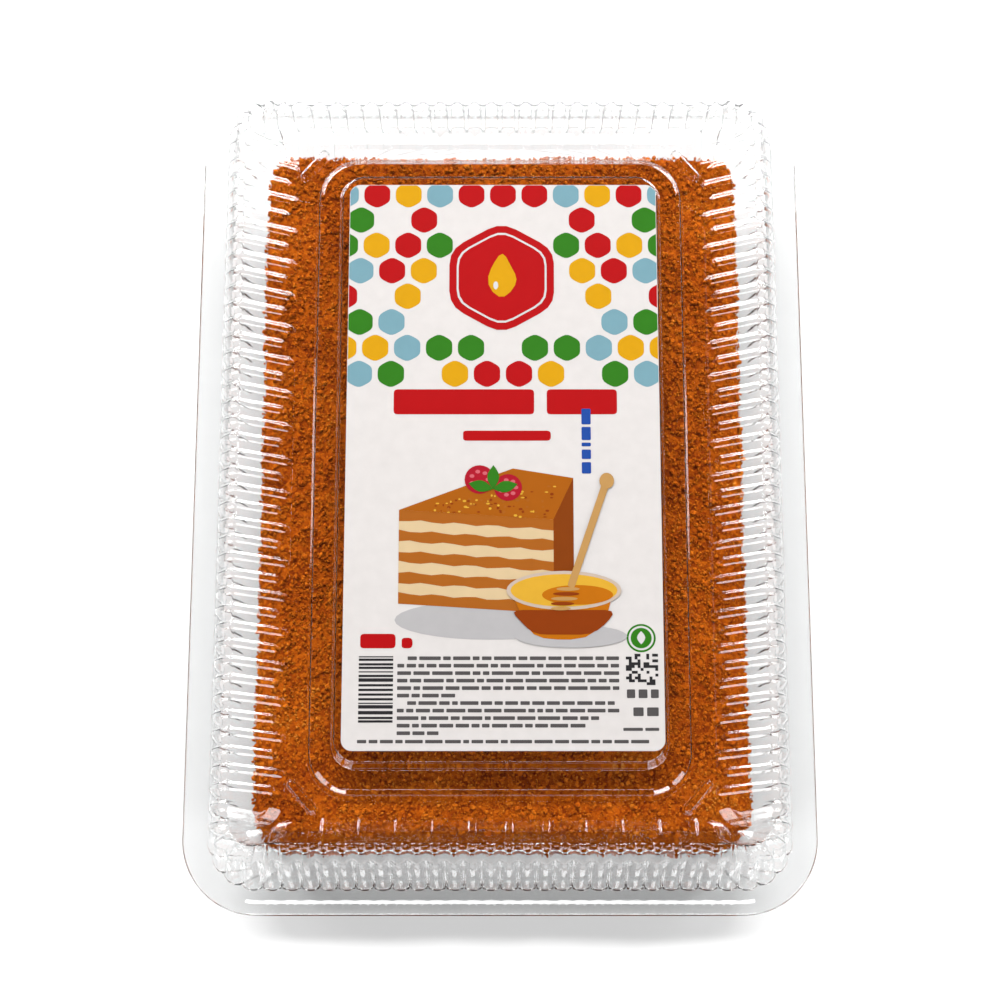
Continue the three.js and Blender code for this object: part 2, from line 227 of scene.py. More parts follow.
def clear_plastic(name):
    """Thin clear sheet that lets lamps and soft light pass straight through, with faint smudges
    and the slight waviness that a drawn sheet keeps."""
    material = bpy.data.materials.new(name)
    material.use_nodes = True
    nodes, links = material.node_tree.nodes, material.node_tree.links
    plastic = nodes["Principled BSDF"]
    plastic.inputs["Base Color"].default_value = (*PLASTIC_TINT, 1)
    plastic.inputs["Transmission Weight"].default_value = 1
    plastic.inputs["IOR"].default_value = 1.2
    plastic.inputs["Coat Weight"].default_value = 1
    plastic.inputs["Coat IOR"].default_value = 1.45
    plastic.inputs["Coat Roughness"].default_value = 0.02
    place = nodes.new("ShaderNodeTexCoord")
    smudge = nodes.new("ShaderNodeTexNoise")
    smudge.inputs["Scale"].default_value = 1 / SMUDGE_SIZE
    smudge.inputs["Detail"].default_value = 4
    rough = nodes.new("ShaderNodeMapRange")
    rough.inputs["To Min"].default_value = 0.0
    rough.inputs["To Max"].default_value = 0.05
    wave = nodes.new("ShaderNodeTexNoise")
    wave.inputs["Scale"].default_value = 160
    bump = nodes.new("ShaderNodeBump")
    bump.inputs["Strength"].default_value = 0.05
    bump.inputs["Distance"].default_value = 0.0004
    lamps = nodes.new("ShaderNodeLightPath")
    open_air = nodes.new("ShaderNodeBsdfTransparent")
    soft_mix = nodes.new("ShaderNodeMixShader")
    lamp_mix = nodes.new("ShaderNodeMixShader")
    links.new(place.outputs["Object"], smudge.inputs["Vector"])
    links.new(place.outputs["Object"], wave.inputs["Vector"])
    links.new(smudge.outputs["Fac"], rough.inputs["Value"])
    links.new(rough.outputs["Result"], plastic.inputs["Roughness"])
    links.new(wave.outputs["Fac"], bump.inputs["Height"])
    links.new(bump.outputs["Normal"], plastic.inputs["Normal"])
    links.new(bump.outputs["Normal"], plastic.inputs["Coat Normal"])
    links.new(lamps.outputs["Is Diffuse Ray"], soft_mix.inputs["Fac"])
    links.new(plastic.outputs["BSDF"], soft_mix.inputs[1])
    links.new(open_air.outputs["BSDF"], soft_mix.inputs[2])
    links.new(lamps.outputs["Is Shadow Ray"], lamp_mix.inputs["Fac"])
    links.new(soft_mix.outputs["Shader"], lamp_mix.inputs[1])
    links.new(open_air.outputs["BSDF"], lamp_mix.inputs[2])
    links.new(lamp_mix.outputs["Shader"], nodes["Material Output"].inputs["Surface"])
    return material


tray_walls = [
    (Vector((0, TRAY_FLANGE_TOP, FLUTE_DEPTH, 0, 0)), 0.7),
    (Vector((6.6, 3.8, 1, 0, 0)), 2),
    (Vector((11.6, TRAY_SHEET, 0, 0, 0)), 2),
    (Vector((13.6, TRAY_SHEET, 0, 0, 0)), 0),
]
tray_line = sheet_line(flange_line(TRAY_FLANGE_TOP), tray_walls)
tray_rows = [[fluted_point(place, *point) for place in RIM] for point in tray_line]
tray_bm = bmesh.new()
_, tray_floor_edge = skin(tray_bm, tray_rows)
bmesh.ops.edgeloop_fill(tray_bm, edges=tray_floor_edge)
tray = finished_sheet("tray_shell", tray_bm, TRAY_SHEET, clear_plastic("tray_plastic"))
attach(tray, "root")
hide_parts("tray")

# The cake: a slab of thin honey sponges and cream, coated all over with coarse crumbs of the same
# baked sponge. The coat is uneven and its edges are rounded; it lies loose in the tray.
CAKE_SIZE = Vector((148, 218.5, 34.9))
CAKE_CENTRE = Vector((0.5, -2.2, 0))
CAKE_BOTTOM = 1.1
CAKE_CORNER, CAKE_EDGE = 8, 3
CAKE_FOOT_INSET = 1.5
COAT, COAT_SINK = 0.9, 0.2
GRID_STEP = 1.0
WALL_STEP = 1.2


def coat_relief(point):
    """How far the crumb coat stands out at a point, in millimetres."""
    broad = noise.noise(point * 0.05) * 0.5 + noise.noise(point * 0.16) * 0.35
    lumps = noise.noise(point * 0.75) * 0.35 + noise.noise(point * 1.9) * 0.25
    return broad + lumps


def rounded_place(x, y, half_x, half_y, corner):
    """Pulls a point of a rectangle's corner in to a round corner."""
    a = (abs(x) - (half_x - corner)) / corner
    b = (abs(y) - (half_y - corner)) / corner
    if a <= 0 or b <= 0:
        return x, y
    pull = max(a, b) / math.hypot(a, b) * corner
    return (
        math.copysign(half_x - corner + a * pull, x),
        math.copysign(half_y - corner + b * pull, y),
    )


def way_out(x, y, half_x, half_y, corner):
    """The level direction straight out of a rounded rectangle's border."""
    out = Vector((
        math.copysign(max(abs(x) - (half_x - corner), 0), x),
        math.copysign(max(abs(y) - (half_y - corner), 0), y),
    ))
    return out.normalized()


inner_x = CAKE_SIZE.x / 2 - COAT - CAKE_EDGE
inner_y = CAKE_SIZE.y / 2 - COAT - CAKE_EDGE
inner_corner = CAKE_CORNER - CAKE_EDGE
cake_top = CAKE_BOTTOM + CAKE_SIZE.z - COAT
cake_bm = bmesh.new()
bmesh.ops.create_grid(
    cake_bm, x_segments=round(inner_x * 2 / GRID_STEP), y_segments=round(inner_y * 2 / GRID_STEP),
    size=1,
)
for vert in cake_bm.verts:
    x, y = rounded_place(vert.co.x * inner_x, vert.co.y * inner_y, inner_x, inner_y, inner_corner)
    vert.co = (x, y, cake_top)
border = [edge for edge in cake_bm.edges if edge.is_boundary]
wall_line = [
    (CAKE_EDGE * math.sin(turn), CAKE_EDGE * (1 - math.cos(turn)))
    for turn in (math.pi / 8, math.pi / 4, math.pi * 3 / 8, math.pi / 2)
]
drop = cake_top - CAKE_BOTTOM - CAKE_EDGE
wall_rows = round(drop / WALL_STEP)
wall_line += [(CAKE_EDGE, CAKE_EDGE + drop * (n + 1) / wall_rows) for n in range(wall_rows)]
wall_line += [(CAKE_EDGE - CAKE_FOOT_INSET, CAKE_EDGE + drop)]
before = 0.0
for reach, fall in wall_line:
    grown = bmesh.ops.extrude_edge_only(cake_bm, edges=border)["geom"]
    border = [item for item in grown if isinstance(item, bmesh.types.BMEdge) and item.is_boundary]
    for vert in (item for item in grown if isinstance(item, bmesh.types.BMVert)):
        place = vert.co.xy
        out = way_out(place.x, place.y, inner_x + before, inner_y + before, inner_corner + before)
        vert.co.xy = place + out * (reach - before)
        vert.co.z = cake_top - fall
    before = reach
bmesh.ops.edgeloop_fill(cake_bm, edges=border)
bmesh.ops.recalc_face_normals(cake_bm, faces=cake_bm.faces)
cake_bm.normal_update()
coated = [vert for vert in cake_bm.verts if vert.co.z > CAKE_BOTTOM + GRID_STEP / 2]
surface = [(vert.co.copy(), vert.normal.copy()) for vert in coated]
for vert, (place, normal) in zip(coated, surface):
    vert.co = place + normal * (coat_relief(place) - COAT_SINK)
for face in cake_bm.faces:
    face.smooth = True
bmesh.ops.translate(cake_bm, verts=cake_bm.verts, vec=CAKE_CENTRE)
bmesh.ops.scale(cake_bm, verts=cake_bm.verts, vec=(0.001,) * 3)


def crumb_tone_group():
    """Colour and relief of baked honey crumb: each crumb has its own tone, with darker and paler
    grains at random. The drop input lowers the whole tone; for the bed it paints the shade
    in the gaps between the crumbs."""
    group = bpy.data.node_groups.new("crumb_tone", "ShaderNodeTree")
    sockets = group.interface
    sockets.new_socket("Position", in_out="INPUT", socket_type="NodeSocketVector")
    sockets.new_socket("Grain size", in_out="INPUT", socket_type="NodeSocketFloat")
    sockets.new_socket("Painted shade and tone drop", in_out="INPUT", socket_type="NodeSocketFloat")
    sockets.new_socket("Colour", in_out="OUTPUT", socket_type="NodeSocketColor")
    sockets.new_socket("Relief", in_out="OUTPUT", socket_type="NodeSocketFloat")
    nodes, links = group.nodes, group.links
    given, made = nodes.new("NodeGroupInput"), nodes.new("NodeGroupOutput")
    density = nodes.new("ShaderNodeMath")
    density.operation = "DIVIDE"
    density.inputs[0].default_value = 1
    grains = nodes.new("ShaderNodeTexVoronoi")
    tone = nodes.new("ShaderNodeSeparateColor")
    ramp = nodes.new("ShaderNodeValToRGB")
    stops = [
        (0.0, (0.085, 0.008, 0.001)), (0.3, (0.370, 0.058, 0.002)), (0.6, (0.640, 0.126, 0.004)),
        (0.85, (0.830, 0.205, 0.010)), (1.0, (0.950, 0.420, 0.060)),
    ]
    for n, (at, colour) in enumerate(stops):
        stop = ramp.color_ramp.elements[n] if n < 2 else ramp.color_ramp.elements.new(at)
        stop.position, stop.color = at, (*colour, 1)
    drift = nodes.new("ShaderNodeTexNoise")
    drift.inputs["Scale"].default_value = 45
    drift.inputs["Detail"].default_value = 3
    fine = nodes.new("ShaderNodeTexNoise")
    fine.inputs["Detail"].default_value = 6
    fine.inputs["Roughness"].default_value = 0.7
    finer = nodes.new("ShaderNodeMath")
    finer.operation = "MULTIPLY"
    finer.inputs[1].default_value = 2.2
    sum_one, sum_two, sum_three = (nodes.new("ShaderNodeMath") for _ in range(3))
    for total, share in ((sum_one, 0.45), (sum_two, 0.55), (sum_three, 0.8)):
        total.operation = "MULTIPLY_ADD"
        total.inputs[1].default_value = share
    lowered = nodes.new("ShaderNodeMath")
    lowered.operation = "SUBTRACT"
    lowered.inputs[0].default_value = -0.3
    links.new(given.outputs["Grain size"], density.inputs[1])
    links.new(density.outputs[0], grains.inputs["Scale"])
    links.new(given.outputs["Position"], grains.inputs["Vector"])
    links.new(given.outputs["Position"], drift.inputs["Vector"])
    links.new(given.outputs["Position"], fine.inputs["Vector"])
    links.new(density.outputs[0], finer.inputs[0])
    links.new(finer.outputs[0], fine.inputs["Scale"])
    links.new(grains.outputs["Color"], tone.inputs["Color"])
    links.new(tone.outputs[0], sum_one.inputs[0])
    links.new(given.outputs["Painted shade and tone drop"], lowered.inputs[1])
    links.new(lowered.outputs[0], sum_one.inputs[2])
    links.new(drift.outputs["Fac"], sum_two.inputs[0])
    links.new(sum_one.outputs[0], sum_two.inputs[2])
    links.new(fine.outputs["Fac"], sum_three.inputs[0])
    links.new(sum_two.outputs[0], sum_three.inputs[2])
    links.new(sum_three.outputs[0], ramp.inputs["Fac"])
    links.new(ramp.outputs["Color"], made.inputs["Colour"])
    links.new(fine.outputs["Fac"], made.inputs["Relief"])
    return group


CRUMB_TONE = crumb_tone_group()


def crumb_finish(name, grain, shade_and_tone_drop):
    """Dry, matt baked crumb, its tone lowered by the given drop; for the bed that drop is painted shade.
    """
    material = bpy.data.materials.new(name)
    material.use_nodes = True
    nodes, links = material.node_tree.nodes, material.node_tree.links
    crumb = nodes["Principled BSDF"]
    crumb.inputs["Roughness"].default_value = 0.85
    crumb.inputs["Specular IOR Level"].default_value = 0.03
    place = nodes.new("ShaderNodeTexCoord")
    tone = nodes.new("ShaderNodeGroup")
    tone.node_tree = CRUMB_TONE
    tone.inputs["Grain size"].default_value = grain
    tone.inputs["Painted shade and tone drop"].default_value = shade_and_tone_drop
    bump = nodes.new("ShaderNodeBump")
    bump.inputs["Strength"].default_value = 0.7
    bump.inputs["Distance"].default_value = 0.0004
    links.new(place.outputs["Object"], tone.inputs["Position"])
    links.new(tone.outputs["Colour"], crumb.inputs["Base Color"])
    links.new(tone.outputs["Relief"], bump.inputs["Height"])
    links.new(bump.outputs["Normal"], crumb.inputs["Normal"])
    return material


cake_mesh = bpy.data.meshes.new("cake_slab")
cake_bm.to_mesh(cake_mesh)
cake_bm.free()
cake = bpy.data.objects.new("cake_slab", cake_mesh)
bpy.context.collection.objects.link(cake)
# The bed shows only in the gaps between the crumbs, so its tone is lowered to paint the shade there.
cake_mesh.materials.append(crumb_finish("crumb_bed", 0.0011, 0.18))
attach(cake, "root")
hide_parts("cake")


def crumb_shapes(kinds, rounds, seed):
    """A few crumbs about one unit across, each an icosphere or octahedron knocked out of shape."""
    shapes = []
    dice = random.Random(seed)
    for _ in range(kinds):
        bm = bmesh.new()
        if rounds:
            bmesh.ops.create_icosphere(bm, subdivisions=rounds, radius=0.5)
        else:
            bmesh.ops.create_uvsphere(bm, u_segments=4, v_segments=2, radius=0.5)
        for vert in bm.verts:
            vert.co *= dice.uniform(0.72, 1.2)
        bmesh.ops.triangulate(bm, faces=bm.faces)
        bm.verts.index_update()
        corners = np.array([vert.co for vert in bm.verts])
        faces = np.array([[vert.index for vert in face.verts] for face in bm.faces])
        shapes.append((corners, faces))
        bm.free()
    return shapes


def scattered_crumbs(name, count, rounds, smallest, largest, sink, seed, material):
    """Crumbs pressed into the coat of the slab, as one mesh at their true size."""
    dice = np.random.default_rng(seed)
    shapes = crumb_shapes(12, rounds, seed)
    places = np.array([place for place, _ in surface])
    normals = np.array([normal for _, normal in surface])
    chance = np.where(normals[:, 2] > 0.3, 1.0, 0.35)
    pick = dice.choice(len(places), count, p=chance / chance.sum())
    at = places[pick] + dice.uniform(-0.5, 0.5, (count, 3)) * GRID_STEP
    out = normals[pick]
    size = smallest + (largest - smallest) * dice.random(count) ** 2
    stand = np.array([coat_relief(Vector(p)) for p in at]) - COAT_SINK
    at = at + out * (stand + size * (0.5 - sink))[:, None]
    turns = dice.normal(size=(count, 4))
    turns /= np.linalg.norm(turns, axis=1)[:, None]
    stretch = size[:, None] * dice.uniform(0.65, 1.15, (count, 3))
    corners, faces, total = [], [], 0
    for n in range(count):
        shape, sides = shapes[n % len(shapes)]
        w, x, y, z = turns[n]
        turn = np.array([
            [1 - 2 * (y * y + z * z), 2 * (x * y - z * w), 2 * (x * z + y * w)],
            [2 * (x * y + z * w), 1 - 2 * (x * x + z * z), 2 * (y * z - x * w)],
            [2 * (x * z - y * w), 2 * (y * z + x * w), 1 - 2 * (x * x + y * y)],
        ])
        corners.append((shape * stretch[n]) @ turn.T + at[n])
        faces.append(sides + total)
        total += len(shape)
    corners = (np.concatenate(corners) + np.array(CAKE_CENTRE)) * 0.001
    mesh = bpy.data.meshes.new(name)
    mesh.from_pydata(corners.tolist(), [], np.concatenate(faces).tolist())
    mesh.materials.append(material)
    piece = bpy.data.objects.new(name, mesh)
    bpy.context.collection.objects.link(piece)
    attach(piece, "root")
    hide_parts("cake")


scattered_crumbs(
    "coarse_crumbs", 7000, 1, 1.2, 2.2, 0.25, 11, crumb_finish("coarse_crumb", 0.0013, 0.0)
)
scattered_crumbs(
    "middle_crumbs", 24000, 0, 0.8, 1.5, 0.2, 12, crumb_finish("middle_crumb", 0.0010, -0.04)
)
scattered_crumbs(
    "fine_crumbs", 24000, 0, 0.5, 1.0, 0.1, 13, crumb_finish("fine_crumb", 0.0007, -0.02)
)

# The lid: a deep cover of the same clear sheet. Flutes run up its wall and over a rounded shoulder
# as long and short ribs, fan out over the corners, and end at a gutter; two steps and a raised
# panel for the label stand inside that. Its flange lies over the tray's.
LID_SHEET = 0.4
LID_FLANGE_TOP = 19.1
SHOULDER, CROWN = (2.8, 27.0), (6.0, 30.7)
GUTTER_HEIGHT = 21.0
SHOULDER_LIFT, CROWN_LIFT, RIB_LIFT = 0.5, 0.5, 0.42
ROOF_START = CROWN[0] + 1.2
END_HOLLOW, HOLLOW_BEND = 0.65, 2.6
ROUND_END = RIB_FOOT * HALF_FLUTE
END_STEPS = (1, 0.5, 0.22, 0)
STEP_CORNER_SIDES = 12
BAR_CENTRE = Vector((HALF_X - 37, HALF_Y - 31))
BAR_SIDES = 24


def end_share(ends):
    """How far a place is like the near and far ends (1) rather than the sides (0)."""
    return min(1.0, max(0.0, (SIDE_RIBS[1] - ends[1]) / (SIDE_RIBS[1] - END_RIBS[1])))


def roof_height(run, ends):
    """The valley line of the roof, straight at the sides and hollow at the near and far ends."""
    left = max(0.0, (ends[1] - run) / (ends[1] - CROWN[0]))
    left -= end_share(ends) * END_HOLLOW * (left - left ** HOLLOW_BEND)
    return LID_FLANGE_TOP + GUTTER_HEIGHT + (CROWN[1] - GUTTER_HEIGHT) * left


def lid_line(place):
    """The lid's section at one place of the rim, from the flange's edge to the gutter."""
    ends = place["ends"]
    runs = [max(ROOF_START, tip - ROUND_END * step) for tip in ends for step in END_STEPS]
    # The long ribs' round ends begin past the tips of the short ones.
    runs[4] = max(runs[4], runs[3] + 0.1)
    tip = ends[1] if place["long"] else ends[0]
    walls = [
        (Vector((0, LID_FLANGE_TOP, FLUTE_DEPTH, 0, 0)), 0.7),
        (Vector((SHOULDER[0], LID_FLANGE_TOP + SHOULDER[1], FLUTE_DEPTH, SHOULDER_LIFT, 0.3)), 2.6),
        (Vector((CROWN[0], LID_FLANGE_TOP + CROWN[1], 0, CROWN_LIFT, 1)), 2.4),
        (Vector((ROOF_START, roof_height(ROOF_START, ends), 0, RIB_LIFT, 1)), 0),
    ]
    section = sheet_line(flange_line(LID_FLANGE_TOP), walls)
    line = [fluted_point(place, *point) for point in section]
    for run in runs:
        past = max(0, run - tip + ROUND_END)
        line.append(fluted_point(place, run, roof_height(run, ends), 0, RIB_LIFT, 1, past))
    return line


def step_loop(half_x, half_y, radius, height):
    """A rounded rectangle, anticlockwise from the right side's near end."""
    loop = []
    for quarter, (sx, sy) in enumerate(((1, 1), (-1, 1), (-1, -1), (1, -1))):
        for n in range(STEP_CORNER_SIDES + 1):
            turn = (quarter + n / STEP_CORNER_SIDES) * math.pi / 2
            loop.append(Vector((
                sx * (half_x - radius) + radius * math.cos(turn),
                sy * (half_y - radius) + radius * math.sin(turn),
                height,
            )))
    return loop


def bar_loop(sx, sy, length, width, height):
    """A round-ended bar lying across one corner."""
    along = Vector((-0.64 * sx, 0.77 * sy))
    across = Vector((0.77 * sx, 0.64 * sy))
    centre = Vector((BAR_CENTRE.x * sx, BAR_CENTRE.y * sy))
    loop = []
    for n in range(BAR_SIDES):
        turn = (n + 0.5) / BAR_SIDES * math.tau
        u = (math.copysign(length - width, math.cos(turn)) + math.cos(turn) * width) / 2
        v = math.sin(turn) * width / 2
        spot = centre + along * u + across * v
        loop.append(Vector((spot.x, spot.y, height)))
    return loop


lid_lines = [lid_line(place) for place in RIM]
lid_bm = bmesh.new()
_, gutter_edge = skin(lid_bm, [list(row) for row in zip(*lid_lines)])
step_line = [
    (Vector((57.1, 101.9, 13.9, 21.0)), 0),
    (Vector((56.2, 101, 13, 25.0)), 0.5),
    (Vector((54.9, 99.6, 12, 26.0)), 0.5),
    (Vector((49.4, 93.6, 7.5, 27.4)), 0.8),
    (Vector((48.6, 92.6, 7, 31.4)), 0.7),
    (Vector((46.6, 90.6, 5.5, 31.4)), 0),
]
step_rows = [
    step_loop(x, y, radius, LID_FLANGE_TOP + height) for x, y, radius, height in eased(step_line)
]
foot_edge, panel_edge = skin(lid_bm, step_rows)
bmesh.ops.edgeloop_fill(lid_bm, edges=panel_edge)
gutter_top = LID_FLANGE_TOP + GUTTER_HEIGHT
holes = list(foot_edge)
for sx, sy in ((1, 1), (-1, 1), (-1, -1), (1, -1)):
    bar_line = eased([
        (Vector((13, 3.6, gutter_top)), 0),
        (Vector((12.6, 3.2, gutter_top + 0.2)), 0.2),
        (Vector((11.8, 2.4, gutter_top + 1.6)), 0.7),
        (Vector((10.2, 0.8, gutter_top + 1.8)), 0),
    ])
    base_edge, top_edge = skin(lid_bm, [bar_loop(sx, sy, *size) for size in bar_line])
    bmesh.ops.edgeloop_fill(lid_bm, edges=top_edge)
    holes += base_edge
bmesh.ops.triangle_fill(lid_bm, use_beauty=True, edges=gutter_edge + holes)
lid = finished_sheet("lid_shell", lid_bm, LID_SHEET, clear_plastic("lid_plastic"))
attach(lid, "root")
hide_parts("lid")

# The label: coated white paper stuck on the lid's raised panel and printed in flat inks, with a
# honeycomb pattern, a picture of a slice with honey, and plain bars. The ink lies on in thin films.
LABEL_SIZE = Vector((94.4, 178.7))
LABEL_CENTRE = Vector((0.9, 0.1, 51.1))
PAPER_TONE = (0.62, 0.588, 0.573)
INK_SHARE = 0.66
FILM_LIFT, FILM_DEPTH = 0.035, 0.02
BADGE = Vector((-0.4, 58.5))
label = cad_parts["label"]
print_bm = bmesh.new()
ink_layer = print_bm.loops.layers.float_color.new("ink")


def ink(red, green, blue):
    """An ink's reflectance from its shade on a display."""
    shade = Color((red / 255, green / 255, blue / 255)).from_srgb_to_scene_linear()
    return [part * INK_SHARE for part in shade]


RED, GREEN = ink(200, 15, 20), ink(56, 135, 31)
YELLOW, BLUE = ink(240, 176, 16), ink(135, 181, 195)
WHITE, GREY, BLACK, STAMP = ink(240, 238, 236), ink(96, 92, 92), ink(52, 50, 52), ink(40, 84, 176)
SHADE, SPONGE, CREAM = ink(206, 203, 204), ink(190, 108, 34), ink(243, 214, 168)
CRUST, DARK_CRUST = ink(190, 104, 18), ink(150, 70, 12)
HONEY, DEEP_HONEY, LIT_HONEY = ink(214, 122, 12), ink(158, 66, 10), ink(247, 190, 60)
GLASS, WOOD, BERRY, LIT_BERRY = ink(226, 204, 186), ink(214, 164, 98), ink(192, 26, 48), ink(232, 110, 122)


def film(outline, tone, level=0):
    """One flat patch of ink in millimetres from the label's centre, laid over the lower levels."""
    height = FILM_LIFT * (level + 1)
    face = print_bm.faces.new([print_bm.verts.new((x, y, height)) for x, y in outline])
    face.normal_update()
    if face.normal.z < 0:
        face.normal_flip()
    for loop in face.loops:
        loop[ink_layer] = (*tone, 1)


def rounded_outline(corners, reach):
    """A closed outline with each corner rounded within its reach."""
    line = [(Vector(corner), reach) for corner in corners]
    middle = (line[-1][0] + line[0][0]) / 2
    return eased([(middle, 0), *line, (middle, 0)])[:-1]


def bar(left, low, right, high, reach=0.3):
    return rounded_outline([(left, low), (right, low), (right, high), (left, high)], reach)


def cell(x, y, across, reach=1.6):
    """A honeycomb cell that stands on a corner."""
    radius = across / math.sqrt(3)
    turns = [math.pi / 6 + n * math.pi / 3 for n in range(6)]
    corners = [(x + radius * math.cos(turn), y + radius * math.sin(turn)) for turn in turns]
    return rounded_outline(corners, reach)


def oval(x, y, wide, high, sides=32):
    turns = [n / sides * math.tau for n in range(sides)]
    return [(x + wide / 2 * math.cos(turn), y + high / 2 * math.sin(turn)) for turn in turns]


def leaf(x, y, length, width, turn):
    """A pointed leaf that grows from a point in the direction of turn."""
    along = Vector((math.cos(turn), math.sin(turn)))
    across = Vector((-along.y, along.x))
    shares = [n / 6 for n in range(7)]
    edge = [(share * length, math.sin(share * math.pi) * width / 2) for share in shares]
    edge += [(reach, -aside) for reach, aside in edge[-2:0:-1]]
    return [Vector((x, y)) + along * reach + across * aside for reach, aside in edge]


def ring(outer, inner, ground, tone, level):
    """A line of ink round a patch of another tone."""
    film(outer, tone, level)
    film(inner, ground, level + 1)


def honeycomb_pattern(seed):
    """Cells in four colours over the upper third, alike left and right, thinning out downwards,
    clear of the badge."""
    dice = random.Random(seed)
    pitch, top, rows, badge_clear = 9.7, 86.0, 8, (21.5, 24)
    for row in range(rows):
        y = top - row * pitch * math.sqrt(3) / 2
        for step in range(6):
            x = (step + row % 2 / 2) * pitch
            tone = (RED, GREEN, YELLOW, BLUE)[(step * 3 + row + dice.randrange(2)) % 4]
            if math.hypot(x / badge_clear[0], (y - BADGE.y) / badge_clear[1]) < 1:
                continue
            if dice.random() < 0.93 - row * 0.03:
                for place in {x, -x}:
                    film(cell(place, y, 8.0), tone)


def badge():
    """A plain red cell with a thin white line and a drop of honey."""
    x, y = BADGE
    film(cell(x, y, 32, 5), RED, 1)
    ring(cell(x, y, 27.5, 4), cell(x, y, 26.3, 4), RED, WHITE, 2)
    drop = [(x, y + 9.5), (x - 5.4, y - 1.4), (x, y - 8), (x + 5.4, y - 1.4)]
    film(rounded_outline(drop, 5.2), YELLOW, 4)
    film(oval(x - 1.8, y - 2.6, 1.5, 2.6, 16), WHITE, 5)


def picture_slice():
    """A wedge of layered cake, seen from above its cut side, with two berries and leaves."""
    tip, far, near, back = (Vector(at) for at in ((-31, -16), (3, -3), (15, -19), (21, -6)))
    tall, steps, layers = 29, 14, 9
    film(oval(-4, -50, 56, 12), SHADE, 0)

    def across(start, end, depth):
        points = [start.lerp(end, n / steps) for n in range(steps + 1)]
        fall = tall * depth
        sway = 0 if depth in (0, 1) else 0.35
        return [
            (p.x, p.y - fall + sway * math.sin(n * 1.9 + depth * 37)) for n, p in enumerate(points)
        ]

    for n in range(layers):
        tone = CREAM if n % 2 else SPONGE
        upper, lower = (across(tip, near, depth) for depth in (n / layers, (n + 1) / layers))
        film(upper + lower[::-1], tone, 1)
    down = Vector((0, -tall))
    film([near, back, back + down, near + down], DARK_CRUST, 1)
    film([tip, near, back, far], CRUST, 2)
    dice = random.Random(5)
    for n in range(90):
        spot = tip.lerp(near.lerp(back, dice.random()), 0.2 + 0.75 * dice.random())
        tone = dice.choice([SPONGE, LIT_HONEY, DEEP_HONEY])
        wide, high = dice.uniform(0.5, 1.3), dice.uniform(0.4, 0.9)
        film(oval(spot.x, spot.y, wide, high, 7), tone, 3 + n / 100)
    for x, y, size in ((-7, -6.5, 9), (1.5, -9, 8.4)):
        film(oval(x, y, size, size, 24), BERRY, 4)
        for turn in range(7):
            at = Vector((x, y)) + Vector((math.cos(turn * 0.9), math.sin(turn * 0.9))) * size * 0.28
            film(oval(at.x, at.y, 1.5, 1.2, 8), LIT_BERRY, 5)
    for n in range(3):
        film(leaf(-3, -9.5, 7.5, 3.6, 0.2 + n * 1.35), GREEN, 6 + n)


def picture_bowl():
    """A glass bowl of honey with a wooden dipper standing in it."""
    x, y = 18, -43
    film(oval(x + 2, y - 12, 33, 7), SHADE, 6)
    body = [(x - 16, y + 2), (x + 16, y + 2), (x + 9, y - 13), (x - 9, y - 13)]
    film(rounded_outline(body, 7), HONEY, 7)
    film(rounded_outline([(px, y - 5 + (py - y) * 0.5) for px, py in body], 4), DEEP_HONEY, 8)
    ring(oval(x, y + 2, 34, 12), oval(x, y + 2, 31.6, 10), LIT_HONEY, GLASS, 9)
    film(oval(x + 4, y + 0.6, 21, 6), HONEY, 11)
    foot, knob = Vector((x + 2, y + 3)), Vector((x + 13, y + 36))
    aside = (knob - foot).orthogonal().normalized() * 1.1
    film(rounded_outline([foot - aside, knob - aside, knob + aside, foot + aside], 1), WOOD, 12)
    film(oval(knob.x, knob.y, 4.4, 5, 20), WOOD, 13)
    for n in range(5):
        groove = oval(x + 1.2 - n * 0.55, y + 2.4 - n * 1.5, 8.4 - abs(n - 1.5), 1.15, 18)
        film(groove, DEEP_HONEY if n % 2 else WOOD, 13)


def dashes(left, right, low, high, tone, dice):
    """One line of small print as a row of short bars."""
    x = left
    while x < right - 1.2:
        width = min(dice.uniform(1.6, 6.5), right - x)
        film(bar(x, low, x + width, high, 0.2), tone)
        x += width + 0.7


def small_print(seed):
    dice = random.Random(seed)
    for line in range(11):
        y = -61.6 - line * 2.25
        right = (34, 34, 34, 34, 34, -14, 33, 34, 28, 24, -18)[line]
        dashes(-31 if line not in (0, 6) else -28, right, y - 0.55, y + 0.55, GREY, dice)
    dashes(-42.5, 43.5, -87.1, -86.1, GREY, dice)
    y = -61
    while y > -81.5:
        thick = dice.choice((0.35, 0.35, 0.7, 1.05))
        film(bar(-42.3, y - thick, -32.2, y, 0.05), BLACK)
        y -= thick + dice.choice((0.35, 0.7, 0.7))
    side, count = 0.86, 11
    for n in range(count * count):
        row, column = divmod(n, count)
        if dice.random() < 0.52:
            left, low = 36 + column * side, -69.7 + row * side
            film(bar(left, low, left + side, low + side, 0.03), BLACK)
    marks = ((36.2, -73.6, 2.4), (39.6, -73.6, 2.6), (43.2, -73.6, 2.3), (38, -79, 3), (42, -79, 3.4))
    for left, low, wide in marks:
        film(bar(left, low, left + wide, low + 2.6), GREY)
    dashes(35, 45.5, -83.4, -82.5, GREY, dice)


